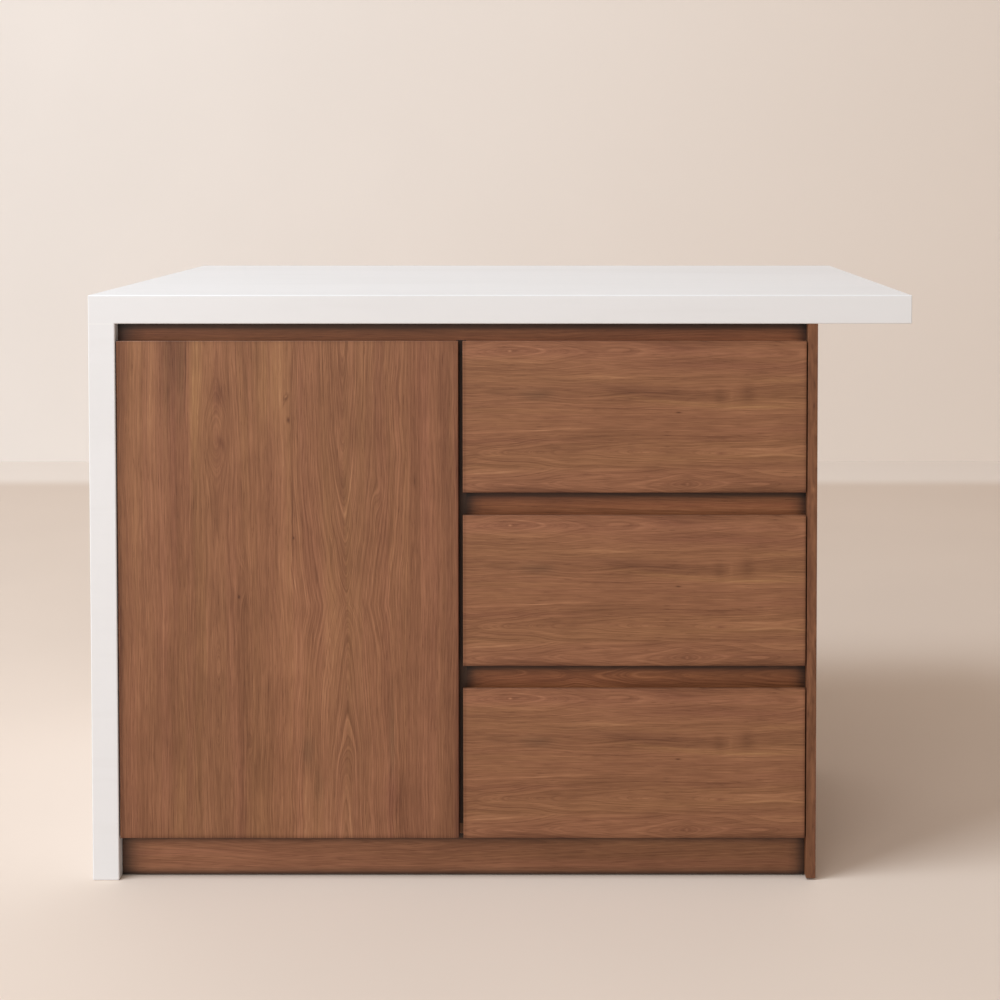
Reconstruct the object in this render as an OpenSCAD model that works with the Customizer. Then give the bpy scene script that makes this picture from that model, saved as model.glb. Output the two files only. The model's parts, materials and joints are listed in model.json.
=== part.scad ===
// Kitchen island unit: stone worktop with a waterfall end, one cupboard and
// three drawers with finger channels instead of handles.
// Millimetres. X runs left to right, Y front to back, Z up.
// The origin is on the floor under the centre of the worktop.

/* [Overall] */
// Width over the worktop
overall_w = 1272; // [1150:1:1500]
// Depth of the worktop from front to back
overall_d = 900; // [800:1:1000]
// Height of the worktop's upper face above the floor
overall_h = 914; // [880:1:960]

/* [Stone] */
// Thickness of the worktop slab
slab_t = 44; // [30:1:60]
// Thickness of the waterfall panel
waterfall_t = 41; // [30:1:60]
// Chamfer along the edges of the stone
stone_arris = 1.2; // [0.5:0.1:3]
// How far the slab reaches past the end panel at the right
right_overhang = 145; // [60:1:200]

/* [Base cabinet] */
// How far the door and drawer faces lie behind the slab's face
face_set = 1; // [0:0.5:5]
// Thickness of the carcass boards
board_t = 16; // [15:1:19]
// Thickness of the end panel at the right
end_panel_t = 15; // [12:1:19]
// Height of the end panel above the floor, on its glides
end_panel_lift = 3; // [2:0.5:5]
// Thickness of the cabinet's thin back
back_t = 6; // [4:1:8]
// Thickness of the walnut panel on the rear
rear_panel_t = 16; // [12:1:19]
// Clear width of the cupboard behind the door
cupboard_w = 509.5; // [440:0.5:560]

/* [Door and drawer fronts] */
// Thickness of the fronts
front_t = 18; // [16:1:20]
// Gap between the fronts and the boards behind them
front_gap = 2; // [1.5:0.1:3]
// Gap beside the fronts, at the waterfall panel and at the end panel
side_gap = 2; // [1.5:0.1:3]
// Gap between the door and the drawers
centre_gap = 7; // [4:0.5:8]
// How far the door reaches over the divider's edge
divider_lap = 4.5; // [3:0.5:6]
// Height of the finger channel under the worktop
top_channel = 27; // [22:1:35]
// Height of the finger channels between the drawers
drawer_channel = 35.5; // [28:0.5:42]
// Height of the fronts' lower edge above the floor
plinth_zone = 66; // [60:1:90]
// Flat part of a front's upper edge
pull_land = 8; // [6:0.5:10]
// Height of the bevel behind a front's upper edge
pull_h = 16; // [10:1:20]
// Chamfer round a front's face
front_arris = 0.8; // [0.4:0.1:1.5]

/* [Rails and plinth] */
// Thickness of the walnut rails in the channels
rail_t = 18; // [16:1:20]
// How far a rail reaches down behind the front below it
rail_drop = 25; // [18:1:30]
// How far a drawer rail reaches up behind the front above it
rail_rise = 6; // [2:1:10]
// Thickness of the plinth board
plinth_t = 16; // [12:1:19]
// Gap between the plinth board and the floor
plinth_gap = 2; // [1:0.5:4]
// Space between the drawer boxes and the cabinet's back
box_rear_space = 60; // [50:1:90]
// Height of the stretchers at the top of the back
stretcher_h = 100; // [70:1:120]

/* [Drawer boxes] */
// Height of the drawer boxes
box_h = 160; // [130:1:165]
// Height of a box's lower edge above the lower edge of its front
box_rise = 22; // [20:1:28]
// Thickness of the box's sides, back and inner front
box_t = 12; // [10:1:15]
// Thickness of the box's bottom
box_bottom_t = 6; // [4:1:8]
// Height of the bottom's groove above the box's lower edge
groove_rise = 10; // [8:1:14]
// Depth of the groove that holds the bottom
groove_d = 5; // [4:0.5:7]

/* [Drawer runners] */
// Length of the cabinet members, which is also the box's length
runner_l = 500; // [450:1:550]
// Height of the runners
runner_h = 45; // [40:1:46]
// Space between the cabinet wall and the drawer box
runner_space = 12.7; // [12.5:0.1:13]
// Thickness of the runners' steel
runner_steel = 1.2; // [1:0.1:1.5]
// Running gap between two runner members
runner_play = 0.3; // [0.3:0.05:0.4]
// Height of the runners' middle above the box's lower edge
runner_rise = 40; // [35:1:60]
// Length of the ball retainers on the middle members
retainer_l = 140; // [100:1:160]

/* [Door hinges] */
// Bore for a hinge cup
cup_d = 35; // [35:0.5:36]
// Depth of the cup's bore in the door
cup_bore_depth = 13; // [12.8:0.1:13.5]
// Distance of the cup's centre from the door's edge
cup_inset = 22; // [22:0.1:22.5]
// Steel of the cup
cup_wall = 0.6; // [0.5:0.1:0.7]
// Distance of a hinge's middle from the door's upper or lower edge
hinge_inset = 96; // [80:1:130]

/* [Shelf] */
// Height of the shelf's lower face above the bottom panel
shelf_rise = 352; // [200:1:500]
// Diameter of the shelf pins
shelf_pin_d = 5; // [4:0.5:6]
// Step between two rows of pin holes
hole_step = 32; // [25:1:40]

/* [Feet] */
// Diameter of a levelling foot's disc
foot_d = 50; // [40:1:60]
// Diameter of a levelling foot's stem
stem_d = 16; // [10:1:20]
// Outer diameter of a leg socket
socket_d = 28; // [24:1:34]
// Diameter of an end-panel glide
glide_d = 11; // [8:0.5:13]

/* [Hidden] */
$fn = 48;

// Colours as they look on the real unit
stone_white = [0.91, 0.89, 0.87];
walnut = [0.55, 0.37, 0.27];
walnut_dark = [0.46, 0.30, 0.21];
board_brown = [0.60, 0.45, 0.34];
birch = [0.83, 0.74, 0.60];
zinc = [0.72, 0.73, 0.74];
nickel = [0.80, 0.79, 0.77];
black = [0.08, 0.08, 0.08];
clear_pad = [0.85, 0.85, 0.83];

// Planes across the unit
left_x = -overall_w / 2;
waterfall_in = left_x + waterfall_t;
side_in = waterfall_in + board_t;
divider_l = side_in + cupboard_w;
divider_r = divider_l + board_t;
end_out = overall_w / 2 - right_overhang;
end_in = end_out - end_panel_t;

// Planes from front to back
slab_y = -overall_d / 2;
face_y = slab_y + face_set;
door_back_y = face_y + front_t;
carcass_y = door_back_y + front_gap;
box_rear_y = door_back_y + runner_l;
back_y = box_rear_y + box_rear_space;
rear_panel_y = back_y + back_t;
rear_y = rear_panel_y + rear_panel_t;

// Planes up the unit
slab_z = overall_h - slab_t;
fronts_top = slab_z - top_channel;
bottom_set = 1;
bottom_z = plinth_zone + bottom_set;
floor_z = bottom_z + board_t;
stretcher_z = slab_z - stretcher_h;
rear_panel_lift = 3;

// Door and drawer fronts
door_l = waterfall_in + side_gap;
door_r = divider_l + divider_lap;
door_h = fronts_top - plinth_zone;
drawer_l = door_r + centre_gap;
drawer_r = end_in - side_gap;
drawer_count = 3;
drawer_h = (door_h - (drawer_count - 1) * drawer_channel) / drawer_count;
drawer_pitch = drawer_h + drawer_channel;
// Height of the lower edge of front i, counted from the top
function drawer_z(i) = fronts_top - drawer_h - i * drawer_pitch;

// Joints between boards: dowels sit half blind in a face and deep in an edge
dowel_d = 8;
dowel_in_face = 7;
dowel_in_edge = 18;
dowel_play = 0.05;
bore_end_play = 0.4;
dowel_margin = 60;
bottom_mid_z = bottom_z + board_t / 2;
stretcher_mid_y = back_y - board_t / 2;
dowel_rows_y = [carcass_y + dowel_margin, (carcass_y + back_y) / 2, back_y - dowel_margin];
stretcher_dowel_set = 25;
stretcher_dowel_z = [stretcher_z + stretcher_dowel_set, slab_z - stretcher_dowel_set];
to_right = [0, 90, 0];
to_left = [0, -90, 0];
dowels = concat(
    [for (y = dowel_rows_y) [[side_in, y, bottom_mid_z], to_right]],
    [for (y = dowel_rows_y) [[end_in, y, bottom_mid_z], to_left]],
    [for (y = dowel_rows_y) [[divider_l + board_t / 2, y, floor_z], [0, 0, 0]]],
    [for (z = stretcher_dowel_z) [[side_in, stretcher_mid_y, z], to_right]],
    [for (z = stretcher_dowel_z) [[divider_l, stretcher_mid_y, z], to_left]],
    [for (z = stretcher_dowel_z) [[divider_r, stretcher_mid_y, z], to_right]],
    [for (z = stretcher_dowel_z) [[end_in, stretcher_mid_y, z], to_left]]
);

// Shelf and its pin holes
shelf_z = floor_z + shelf_rise;
shelf_side_play = 1;
shelf_front_set = 20;
shelf_back_play = 15;
pin_inset = 50;
pin_in = 9;
pin_out = 8;
pin_rows_y = [carcass_y + shelf_front_set + pin_inset, back_y - shelf_back_play - pin_inset];
pin_z = shelf_z - shelf_pin_d / 2;
holes_each_way = 3;

// Steel bars let into the slab over the rear overhang
bar_w = 50;
bar_t = 8;
bar_hold = 300;
bar_rear_margin = 60;
bar_divider_set = 150;
bar_end_set = 110;
bar_play = 0.3;
bar_front = back_y - bar_hold;
bar_x = [side_in + cupboard_w / 2, divider_r + bar_divider_set, end_in - bar_end_set];

// Legs: two rows of three
leg_front_set = 54;
leg_rear_set = 45;
leg_side_set = 45;
leg_end_set = 50;
leg_front_y = carcass_y + leg_front_set;
leg_rear_y = back_y - leg_rear_set;
leg_x = [side_in + leg_side_set, divider_l + board_t / 2, end_in - leg_end_set];
socket_flange = 60;
flange_t = 4;
disc_t = 8;
disc_round = 1;
disc_slope = 3;
socket_low = 20;
stem_end_room = 10;
stem_top = bottom_z - stem_end_room;
stem_play = 0.05;

// Plinth board and its clips, which grip the front sockets
plinth_play = 0.5;
plinth_top_play = 0.3;
clip_t = 2.4;
clip_h = 14;
clip_z = 34;
clip_play = 0.1;
clip_plate_w = 40;
clip_plate_t = 3;
clip_plate_margin = 8;
clip_neck_w = 10;
clip_mouth = 0.55;

// Glides under the end panel
glide_front_set = 14;
glide_rear_set = 30;
glide_y = [face_y + glide_front_set, rear_y - glide_rear_set];
glide_pin_d = 3;
glide_pin_l = 10;
glide_round = 1.4;
glide_edge = 0.4;

// Worktop brackets
bracket_leg = 38;
bracket_w = 30;
bracket_t = 2.5;
bracket_front_set = 150;
bracket_rear_set = 130;
bracket_y = [carcass_y + bracket_front_set, back_y - bracket_rear_set];

// Hinge linkage, seen from above. The pivots are measured from the cupboard
// side's inner face (to the right) and from the closed door's rear face (to
// the back). The door turns on cup pin "inner_far" while the inner link turns
// on arm pin "inner_near"; the outer link guides it.
hinge_z = [plinth_zone + hinge_inset, fronts_top - hinge_inset];
inner_near = [28, 14];
inner_far = [-3.9, -2.5];
outer_near = [20.5, -2.5];
outer_far = [-0.6, -7.5];
outer_link_l = 22.859;
outer_link_angle = -165.2;
inner_bow = 6.3;
outer_bow = 5.5;
link_t = 2.2;
outer_link_t = 1.8;
link_w = 4;
link_split = 0.3;
link_side_play = 0.2;
arm_plate_in = link_split + link_w + link_side_play;
arm_plate_t = 1.2;
arm_plate_out = arm_plate_in + arm_plate_t;
near_pin_d = 2.6;
far_pin_d = 2;
eye_wall = 1.2;
pin_play = 0.05;
// The outer link is one side of a closed four-bar chain. Its eye has room for
// the small difference that a constant ratio between the links leaves.
outer_eye_play = 1.4;
// Outline of an arm's side plates, which a bridge joins over the mounting plate
arm_rear = 61;
arm_top = 14.5;
arm_bridge_front = 41;
arm_outline = [[2.3, arm_rear], [arm_top, arm_rear], [arm_top, 39], [31, 17], [31.2, 13], [26.5, 4],
               [23.2, 1.2], [23.1, -3.2], [21.2, -5.2], [18.6, -4.8], [17.4, -2],
               [21, 8], [19, 18], [10, 29], [2.3, 30]];
// The cup, its flange and the two ears inside that carry the pins
cup_x = -board_t + side_gap + cup_inset;
cup_in_r = cup_d / 2 - cup_wall;
cup_in_depth = 12.3;
ear_outline = [[-6.2, -cup_in_depth - 0.2], [3, -cup_in_depth - 0.2], [3, -6], [-1.5, -0.6], [-6.2, -0.6]];
cup_flange_w = 18;
cup_flange_l = 48;
cup_flange_t = 0.8;
plate_rail_w = 8.6;
plate_rail_l = 28;
plate_rail_y = 32;
plate_rail_h = 11;
plate_wing_l = 12;
plate_wing_w = 52;
plate_wing_set = 1;
plate_t = 2;
plate_hole_d = 5;
plate_hole_z = 16;

// Door bumpers
bumper_d = 8;
bumper_play = 0.3;
bumper_t = front_gap - bumper_play;
bumper_side_set = 30;
bumper_rail_set = 4.5;
bumper_x = door_r - bumper_side_set;
bumper_z = [bottom_mid_z, fronts_top - rail_drop + bumper_rail_set];

// Drawer boxes and runners
box_l = divider_r + runner_space;
box_r = end_in - runner_space;
groove_play = 0.1;
runner_front_set = 3;
runner_front = carcass_y + runner_front_set;
middle_short = 30;
middle_l = runner_l - middle_short;
inner_short = 10;
inner_l = runner_l - inner_short;
lip_in = 3.1;
lip_h = 1.7;
middle_back = 0.8;
middle_reach = 9;
middle_set = 4.1;
middle_half_h = runner_h / 2 - middle_set;
inner_reach = 7.7;
inner_half_h = middle_half_h - runner_steel - runner_play;
retainer_rear_set = 20;
retainer_set = 0.6;
retainer_w = 5.2;
// How far parts of one solid reach into each other
join = 0.1;

// ---------------------------------------------------------------- helpers

// A block between two corners
module block(low, high) {
    translate(low) cube(high - low);
}

// A block with all its edges chamfered
module chamfered_block(low, high, c) {
    size = high - low;
    translate(low) intersection() {
        linear_extrude(size[2]) chamfered_rectangle(size[0], size[1], c);
        rotate([90, 0, 90]) linear_extrude(size[0]) chamfered_rectangle(size[1], size[2], c);
        translate([0, size[1], 0]) rotate([90, 0, 0])
            linear_extrude(size[1]) chamfered_rectangle(size[0], size[2], c);
    }
}

module chamfered_rectangle(w, h, c) {
    polygon([[c, 0], [w - c, 0], [w, c], [w, h - c], [w - c, h], [c, h], [0, h - c], [0, c]]);
}

// Extrudes an outline of X and Z along +Y, from y0 to y1
module along_y(y0, y1) {
    translate([0, y1, 0]) rotate([90, 0, 0]) linear_extrude(y1 - y0) children();
}

// A front board: chamfered face, and a bevel behind the upper edge for the fingers
module front_board(x0, x1, z0, h) {
    w = x1 - x0;
    c = front_arris;
    translate([x0, face_y, z0]) intersection() {
        rotate([90, 0, 90]) linear_extrude(w)
            polygon([[0, c], [c, 0], [front_t, 0], [front_t, h - pull_h], [pull_land, h], [c, h], [0, h - c]]);
        linear_extrude(h)
            polygon([[c, 0], [w - c, 0], [w, c], [w, front_t], [0, front_t], [0, c]]);
    }
}

// ------------------------------------------------------------------ stone

// The upright end panel, drawn up to the worktop's face
module stone_upright() {
    chamfered_block([left_x, slab_y, 0], [waterfall_in, -slab_y, overall_h], stone_arris);
}

// The slab's edges are chamfered, but not where it sits on the end panel
module worktop() {
    color(stone_white) difference() {
        union() {
            chamfered_block([left_x, slab_y, slab_z], [-left_x, -slab_y, overall_h], stone_arris);
            intersection() {
                stone_upright();
                block([left_x, slab_y, slab_z], [waterfall_in, -slab_y, overall_h]);
            }
        }
        for (x = bar_x)
            block([x - bar_w / 2 - bar_play, bar_front - bar_play, slab_z - 1],
                  [x + bar_w / 2 + bar_play, -slab_y - bar_rear_margin + bar_play, slab_z + bar_t + bar_play]);
    }
}

module waterfall_panel() {
    color(stone_white) intersection() {
        stone_upright();
        block([left_x, slab_y, 0], [waterfall_in, -slab_y, slab_z]);
    }
}

module support_bars() {
    color(zinc) for (x = bar_x)
        block([x - bar_w / 2, bar_front, slab_z],
              [x + bar_w / 2, -slab_y - bar_rear_margin, slab_z + bar_t]);
}

// ---------------------------------------------------------------- carcass

module dowel_set(play, end_play) {
    for (d = dowels)
        translate(d[0]) rotate(d[1]) translate([0, 0, -dowel_in_face - end_play])
            cylinder(d = dowel_d + 2 * play, h = dowel_in_face + dowel_in_edge + 2 * end_play);
}

module carcass_dowels() {
    color(birch) dowel_set(0, 0);
}

module dowel_bores() {
    dowel_set(dowel_play, bore_end_play);
}

module shelf_pin_bores() {
    for (y = pin_rows_y, k = [-holes_each_way:holes_each_way], x = [side_in, divider_l])
        translate([x, y, pin_z + k * hole_step]) rotate([0, 90, 0])
            cylinder(d = shelf_pin_d + 2 * dowel_play, h = 2 * (pin_in + bore_end_play), center = true);
}

// Room for the top rail at a board's upper front corner
module rail_notch() {
    block([waterfall_in - 1, carcass_y - 1, fronts_top - rail_drop - bore_end_play],
          [end_in + 1, carcass_y + rail_t + bore_end_play, slab_z + 1]);
}

module left_side() {
    color(board_brown) difference() {
        block([waterfall_in, carcass_y, bottom_z], [side_in, back_y, slab_z]);
        rail_notch();
        dowel_bores();
        shelf_pin_bores();
    }
}

module centre_divider() {
    color(board_brown) difference() {
        block([divider_l, carcass_y, floor_z], [divider_r, back_y, slab_z]);
        rail_notch();
        dowel_bores();
        shelf_pin_bores();
    }
}

module right_end_panel() {
    color(walnut) difference() {
        chamfered_block([end_in, face_y, end_panel_lift], [end_out, rear_y, slab_z], front_arris / 2);
        dowel_bores();
        for (y = glide_y) translate([(end_in + end_out) / 2, y, 0])
            cylinder(d = glide_pin_d + 2 * dowel_play, h = end_panel_lift + glide_pin_l + bore_end_play);
    }
}

module bottom_panel() {
    color(board_brown) difference() {
        block([side_in, carcass_y, bottom_z], [end_in, back_y, floor_z]);
        dowel_bores();
    }
}

module cabinet_back() {
    color(board_brown)
        block([waterfall_in, back_y, bottom_z], [end_in, rear_panel_y, slab_z]);
}

module rear_panel() {
    color(walnut)
        block([waterfall_in, rear_panel_y, rear_panel_lift], [end_in, rear_y, slab_z]);
}

module rear_stretchers() {
    color(board_brown) difference() {
        for (span = [[side_in, divider_l], [divider_r, end_in]])
            block([span[0], back_y - board_t, stretcher_z], [span[1], back_y, slab_z]);
        dowel_bores();
    }
}

module top_rail() {
    color(walnut_dark)
        block([waterfall_in, carcass_y, fronts_top - rail_drop], [end_in, carcass_y + rail_t, slab_z]);
}

// The rail behind the channel above front i
module drawer_rail(i) {
    channel_z = drawer_z(i) + drawer_h;
    color(walnut_dark)
        block([divider_r, carcass_y, channel_z - rail_drop],
              [end_in, carcass_y + rail_t, channel_z + drawer_channel + rail_rise]);
}

module shelf() {
    color(board_brown)
        block([side_in + shelf_side_play, carcass_y + shelf_front_set, shelf_z],
              [divider_l - shelf_side_play, back_y - shelf_back_play, shelf_z + board_t]);
}

module shelf_pins() {
    color(nickel) for (y = pin_rows_y) {
        translate([side_in - pin_in, y, pin_z]) rotate([0, 90, 0])
            cylinder(d = shelf_pin_d, h = pin_in + pin_out);
        translate([divider_l - pin_out, y, pin_z]) rotate([0, 90, 0])
            cylinder(d = shelf_pin_d, h = pin_in + pin_out);
    }
}

// Angle brackets that tie the slab to the side and to the end panel
module worktop_brackets() {
    color(zinc) for (y = bracket_y) {
        bracket(side_in, y, 1);
        bracket(end_in, y, -1);
    }
}

module bracket(x, y, side) {
    translate([x, 0, slab_z]) scale([side, 1, 1]) along_y(y - bracket_w / 2, y + bracket_w / 2)
        polygon([[0, 0], [bracket_leg, 0], [bracket_leg, -bracket_t], [bracket_t, -bracket_t],
                 [bracket_t, -bracket_leg], [0, -bracket_leg]]);
}

// ---------------------------------------------------------- plinth and feet

module plinth_board() {
    color(walnut)
        block([waterfall_in + plinth_play, carcass_y, plinth_gap],
              [end_in - plinth_play, carcass_y + plinth_t, bottom_z - plinth_top_play]);
}

module plinth_clips() {
    clip_r = socket_d / 2 + clip_play;
    plate_y = carcass_y + plinth_t;
    color(black) for (x = leg_x) translate([x, 0, clip_z]) {
        block([-clip_plate_w / 2, plate_y, -clip_plate_margin],
              [clip_plate_w / 2, plate_y + clip_plate_t, clip_h + clip_plate_margin]);
        block([-clip_neck_w / 2, plate_y + clip_plate_t / 2, 0],
              [clip_neck_w / 2, leg_front_y - clip_r - clip_t / 2, clip_h]);
        translate([0, leg_front_y, 0]) linear_extrude(clip_h) difference() {
            circle(r = clip_r + clip_t);
            circle(r = clip_r);
            translate([-clip_r, clip_r * clip_mouth]) square([2 * clip_r, 2 * clip_r]);
        }
    }
}

module at_legs() {
    for (x = leg_x, y = [leg_front_y, leg_rear_y]) translate([x, y, 0]) children();
}

module leg_sockets() {
    color(black) at_legs() difference() {
        union() {
            translate([0, 0, socket_low]) cylinder(d = socket_d, h = bottom_z - socket_low);
            block([-socket_flange / 2, -socket_flange / 2, bottom_z - flange_t],
                  [socket_flange / 2, socket_flange / 2, bottom_z]);
        }
        translate([0, 0, socket_low - 1])
            cylinder(d = stem_d + 2 * stem_play, h = stem_top + bore_end_play - socket_low + 1);
    }
}

module levelling_feet() {
    color(black) at_legs() rotate_extrude()
        polygon([[0, 0], [foot_d / 2 - disc_round, 0], [foot_d / 2, disc_round],
                 [foot_d / 2, disc_t - disc_slope], [foot_d / 2 - disc_slope, disc_t],
                 [stem_d / 2, disc_t], [stem_d / 2, stem_top], [0, stem_top]]);
}

// Round glides nailed into the lower edge of the end panel
module end_panel_glides() {
    color(black) for (y = glide_y) translate([(end_in + end_out) / 2, y, 0]) rotate_extrude()
        polygon([[0, 0], [glide_d / 2 - glide_round, 0],
                 [glide_d / 2 - glide_edge, glide_round - 2 * glide_edge], [glide_d / 2, glide_round],
                 [glide_d / 2, end_panel_lift], [glide_pin_d / 2, end_panel_lift],
                 [glide_pin_d / 2, end_panel_lift + glide_pin_l], [0, end_panel_lift + glide_pin_l]]);
}

// ------------------------------------------------------------------- door

module door_panel() {
    color(walnut) difference() {
        front_board(door_l, door_r, plinth_zone, door_h);
        for (z = hinge_z) translate([door_l + cup_inset, door_back_y - cup_bore_depth, z])
            rotate([-90, 0, 0]) cylinder(d = cup_d, h = cup_bore_depth + 1);
    }
}

module door_bumpers() {
    color(clear_pad) for (z = bumper_z) translate([bumper_x, door_back_y, z]) rotate([-90, 0, 0])
        cylinder(d = bumper_d, h = bumper_t);
}

// ----------------------------------------------------------------- hinges

// Places children at each hinge, with X from the cupboard side's inner face
// and Y from the closed door's rear face
module at_hinges() {
    for (z = hinge_z) translate([side_in, door_back_y, z]) children();
}

// A strip of thickness t along the arc from a to b that bows out by h
module bowed_strip(a, b, h, t) {
    l = norm(b - a);
    r = (l * l / 4 + h * h) / (2 * h);
    half_turn = asin(l / (2 * r));
    across = [-(b - a)[1], (b - a)[0]] / l;
    centre = (a + b) / 2 + across * (h - r);
    far = r + l;
    aim = atan2(across[1], across[0]);
    translate(centre) rotate(aim) intersection() {
        difference() {
            circle(r = r + t / 2);
            circle(r = r - t / 2);
        }
        polygon([[0, 0], [far * cos(half_turn), far * sin(half_turn)], [far, 0],
                 [far * cos(half_turn), -far * sin(half_turn)]]);
    }
}

// A link between two eyes, bored for its pins
module link(a, b, bow, t, w, bore_a, bore_b) {
    linear_extrude(w) difference() {
        union() {
            bowed_strip(a, b, bow, t);
            translate(a) circle(d = bore_a + 2 * eye_wall);
            translate(b) circle(d = bore_b + 2 * eye_wall * 0.75);
        }
        translate(a) circle(d = bore_a);
        translate(b) circle(d = bore_b);
    }
}

module hinge_inner_links() {
    color(nickel) at_hinges() translate([0, 0, link_split])
        link(inner_near, inner_far, inner_bow, link_t, link_w,
             near_pin_d + 2 * pin_play, far_pin_d + 2 * pin_play);
}

module hinge_outer_links() {
    outer_end = outer_near + outer_link_l * [cos(outer_link_angle), sin(outer_link_angle)];
    color(nickel) at_hinges() translate([0, 0, -link_split - link_w])
        link(outer_near, outer_end, outer_bow, outer_link_t, link_w,
             near_pin_d + 2 * pin_play, far_pin_d + 2 * outer_eye_play);
}

module hinge_arms() {
    color(nickel) at_hinges() {
        for (z = [arm_plate_in, -arm_plate_out]) translate([0, 0, z]) linear_extrude(arm_plate_t)
            difference() {
                polygon(arm_outline);
                translate(inner_near) circle(d = near_pin_d);
                translate(outer_near) circle(d = near_pin_d);
            }
        block([arm_top - arm_plate_t, arm_bridge_front, -arm_plate_out], [arm_top, arm_rear, arm_plate_out]);
    }
}

// Short rivets: each stands in one side plate and carries one link
module hinge_arm_pins() {
    color(zinc) at_hinges() {
        translate([inner_near[0], inner_near[1], link_split])
            cylinder(d = near_pin_d, h = arm_plate_out - link_split);
        translate([outer_near[0], outer_near[1], -arm_plate_out])
            cylinder(d = near_pin_d, h = arm_plate_out - link_split);
    }
}

module hinge_plates() {
    color(zinc) at_hinges() {
        block([0, plate_rail_y, -plate_rail_w / 2],
              [plate_rail_h, plate_rail_y + plate_rail_l, plate_rail_w / 2]);
        difference() {
            block([0, plate_rail_y + plate_wing_set, -plate_wing_w / 2],
                  [plate_t, plate_rail_y + plate_wing_set + plate_wing_l, plate_wing_w / 2]);
            for (z = [-plate_hole_z, plate_hole_z])
                translate([-1, plate_rail_y + plate_wing_set + plate_wing_l / 2, z])
                    rotate([0, 90, 0]) cylinder(d = plate_hole_d, h = plate_t + 2);
        }
    }
}

// A cup: a pressed pan in the door's bore with two ears that carry the pins
module hinge_cups() {
    color(nickel) at_hinges() {
        difference() {
            union() {
                translate([cup_x, -cup_bore_depth, 0]) rotate([-90, 0, 0])
                    cylinder(r = cup_d / 2, h = cup_bore_depth);
                cup_flange();
            }
            translate([cup_x, -cup_in_depth, 0]) rotate([-90, 0, 0])
                cylinder(r = cup_in_r, h = cup_in_depth + 2);
        }
        difference() {
            for (z = [arm_plate_in, -arm_plate_out]) translate([0, 0, z])
                linear_extrude(arm_plate_t) polygon(ear_outline);
            cup_pin_holes();
        }
    }
}

module cup_flange() {
    block([cup_x - cup_flange_w / 2, 0, -cup_flange_l / 2],
          [cup_x + cup_flange_w / 2, cup_flange_t, cup_flange_l / 2]);
}

module cup_pin_holes() {
    for (p = [inner_far, outer_far]) translate([p[0], p[1], -arm_plate_out - 1])
        cylinder(d = far_pin_d, h = 2 * arm_plate_out + 2);
}

module hinge_cup_pins() {
    color(zinc) at_hinges() {
        translate([inner_far[0], inner_far[1], link_split])
            cylinder(d = far_pin_d, h = arm_plate_out - link_split);
        translate([outer_far[0], outer_far[1], -arm_plate_out])
            cylinder(d = far_pin_d, h = arm_plate_out - link_split);
    }
}

// ---------------------------------------------------------------- drawers

module drawer_front(i) {
    color(walnut) front_board(drawer_l, drawer_r, drawer_z(i), drawer_h);
}

// The space that drawer i's bottom board takes, widened by play
module drawer_bottom_space(i, play) {
    z = drawer_z(i) + box_rise + groove_rise;
    block([box_l + box_t - groove_d - play, door_back_y + box_t - groove_d - play, z - play],
          [box_r - box_t + groove_d + play, box_rear_y, z + box_bottom_t + play]);
}

module drawer_bottom(i) {
    color(birch) drawer_bottom_space(i, 0);
}

module drawer_side(i, x0, x1) {
    z = drawer_z(i) + box_rise;
    color(birch) difference() {
        block([x0, door_back_y, z], [x1, box_rear_y, z + box_h]);
        drawer_bottom_space(i, groove_play);
    }
}

module drawer_inner_front(i) {
    z = drawer_z(i) + box_rise;
    color(birch) difference() {
        block([box_l + box_t, door_back_y, z], [box_r - box_t, door_back_y + box_t, z + box_h]);
        drawer_bottom_space(i, groove_play);
    }
}

// The back stands on the bottom, which slides in under it
module drawer_back(i) {
    z = drawer_z(i) + box_rise;
    color(birch)
        block([box_l + box_t, box_rear_y - box_t, z + groove_rise + box_bottom_t],
              [box_r - box_t, box_rear_y, z + box_h]);
}

// ---------------------------------------------------------------- runners

// Draws an outline of X (from the cabinet wall) and Z (from the runner's
// middle) on both sides of drawer i, from y0 to y1
module both_runners(i, y0, y1) {
    z = drawer_z(i) + box_rise + runner_rise;
    translate([divider_r, 0, z]) along_y(y0, y1) children();
    translate([end_in, 0, z]) mirror([1, 0, 0]) along_y(y0, y1) children();
}

// A channel open to +X: back at x0, arms of the given reach, outer half height
module channel(x0, reach, half_h) {
    difference() {
        translate([x0, -half_h]) square([reach, 2 * half_h]);
        translate([x0 + runner_steel, -half_h + runner_steel])
            square([reach, 2 * (half_h - runner_steel)]);
    }
}

module cabinet_members(i) {
    reach = runner_space - lip_in;
    color(zinc) both_runners(i, runner_front, runner_front + runner_l) {
        channel(0, reach, runner_h / 2);
        for (side = [1, -1]) scale([1, side])
            translate([reach - runner_steel, runner_h / 2 - runner_steel - lip_h])
                square([runner_steel, lip_h + join]);
    }
}

module middle_members(i) {
    back = runner_steel + middle_back;
    retainer_y = runner_front + middle_l - retainer_rear_set;
    color(zinc) {
        both_runners(i, runner_front, runner_front + middle_l)
            channel(back, middle_reach, middle_half_h);
        both_runners(i, retainer_y - retainer_l, retainer_y)
            for (side = [1, -1]) scale([1, side]) translate([back + retainer_set, middle_half_h - join])
                square([retainer_w, runner_h / 2 - runner_steel - runner_play - middle_half_h + join]);
    }
}

module drawer_members(i) {
    color(zinc) both_runners(i, runner_front, runner_front + inner_l)
        translate([runner_space, 0]) mirror([1, 0]) channel(0, inner_reach, inner_half_h);
}

// ------------------------------------------------------------------ nodes

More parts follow.
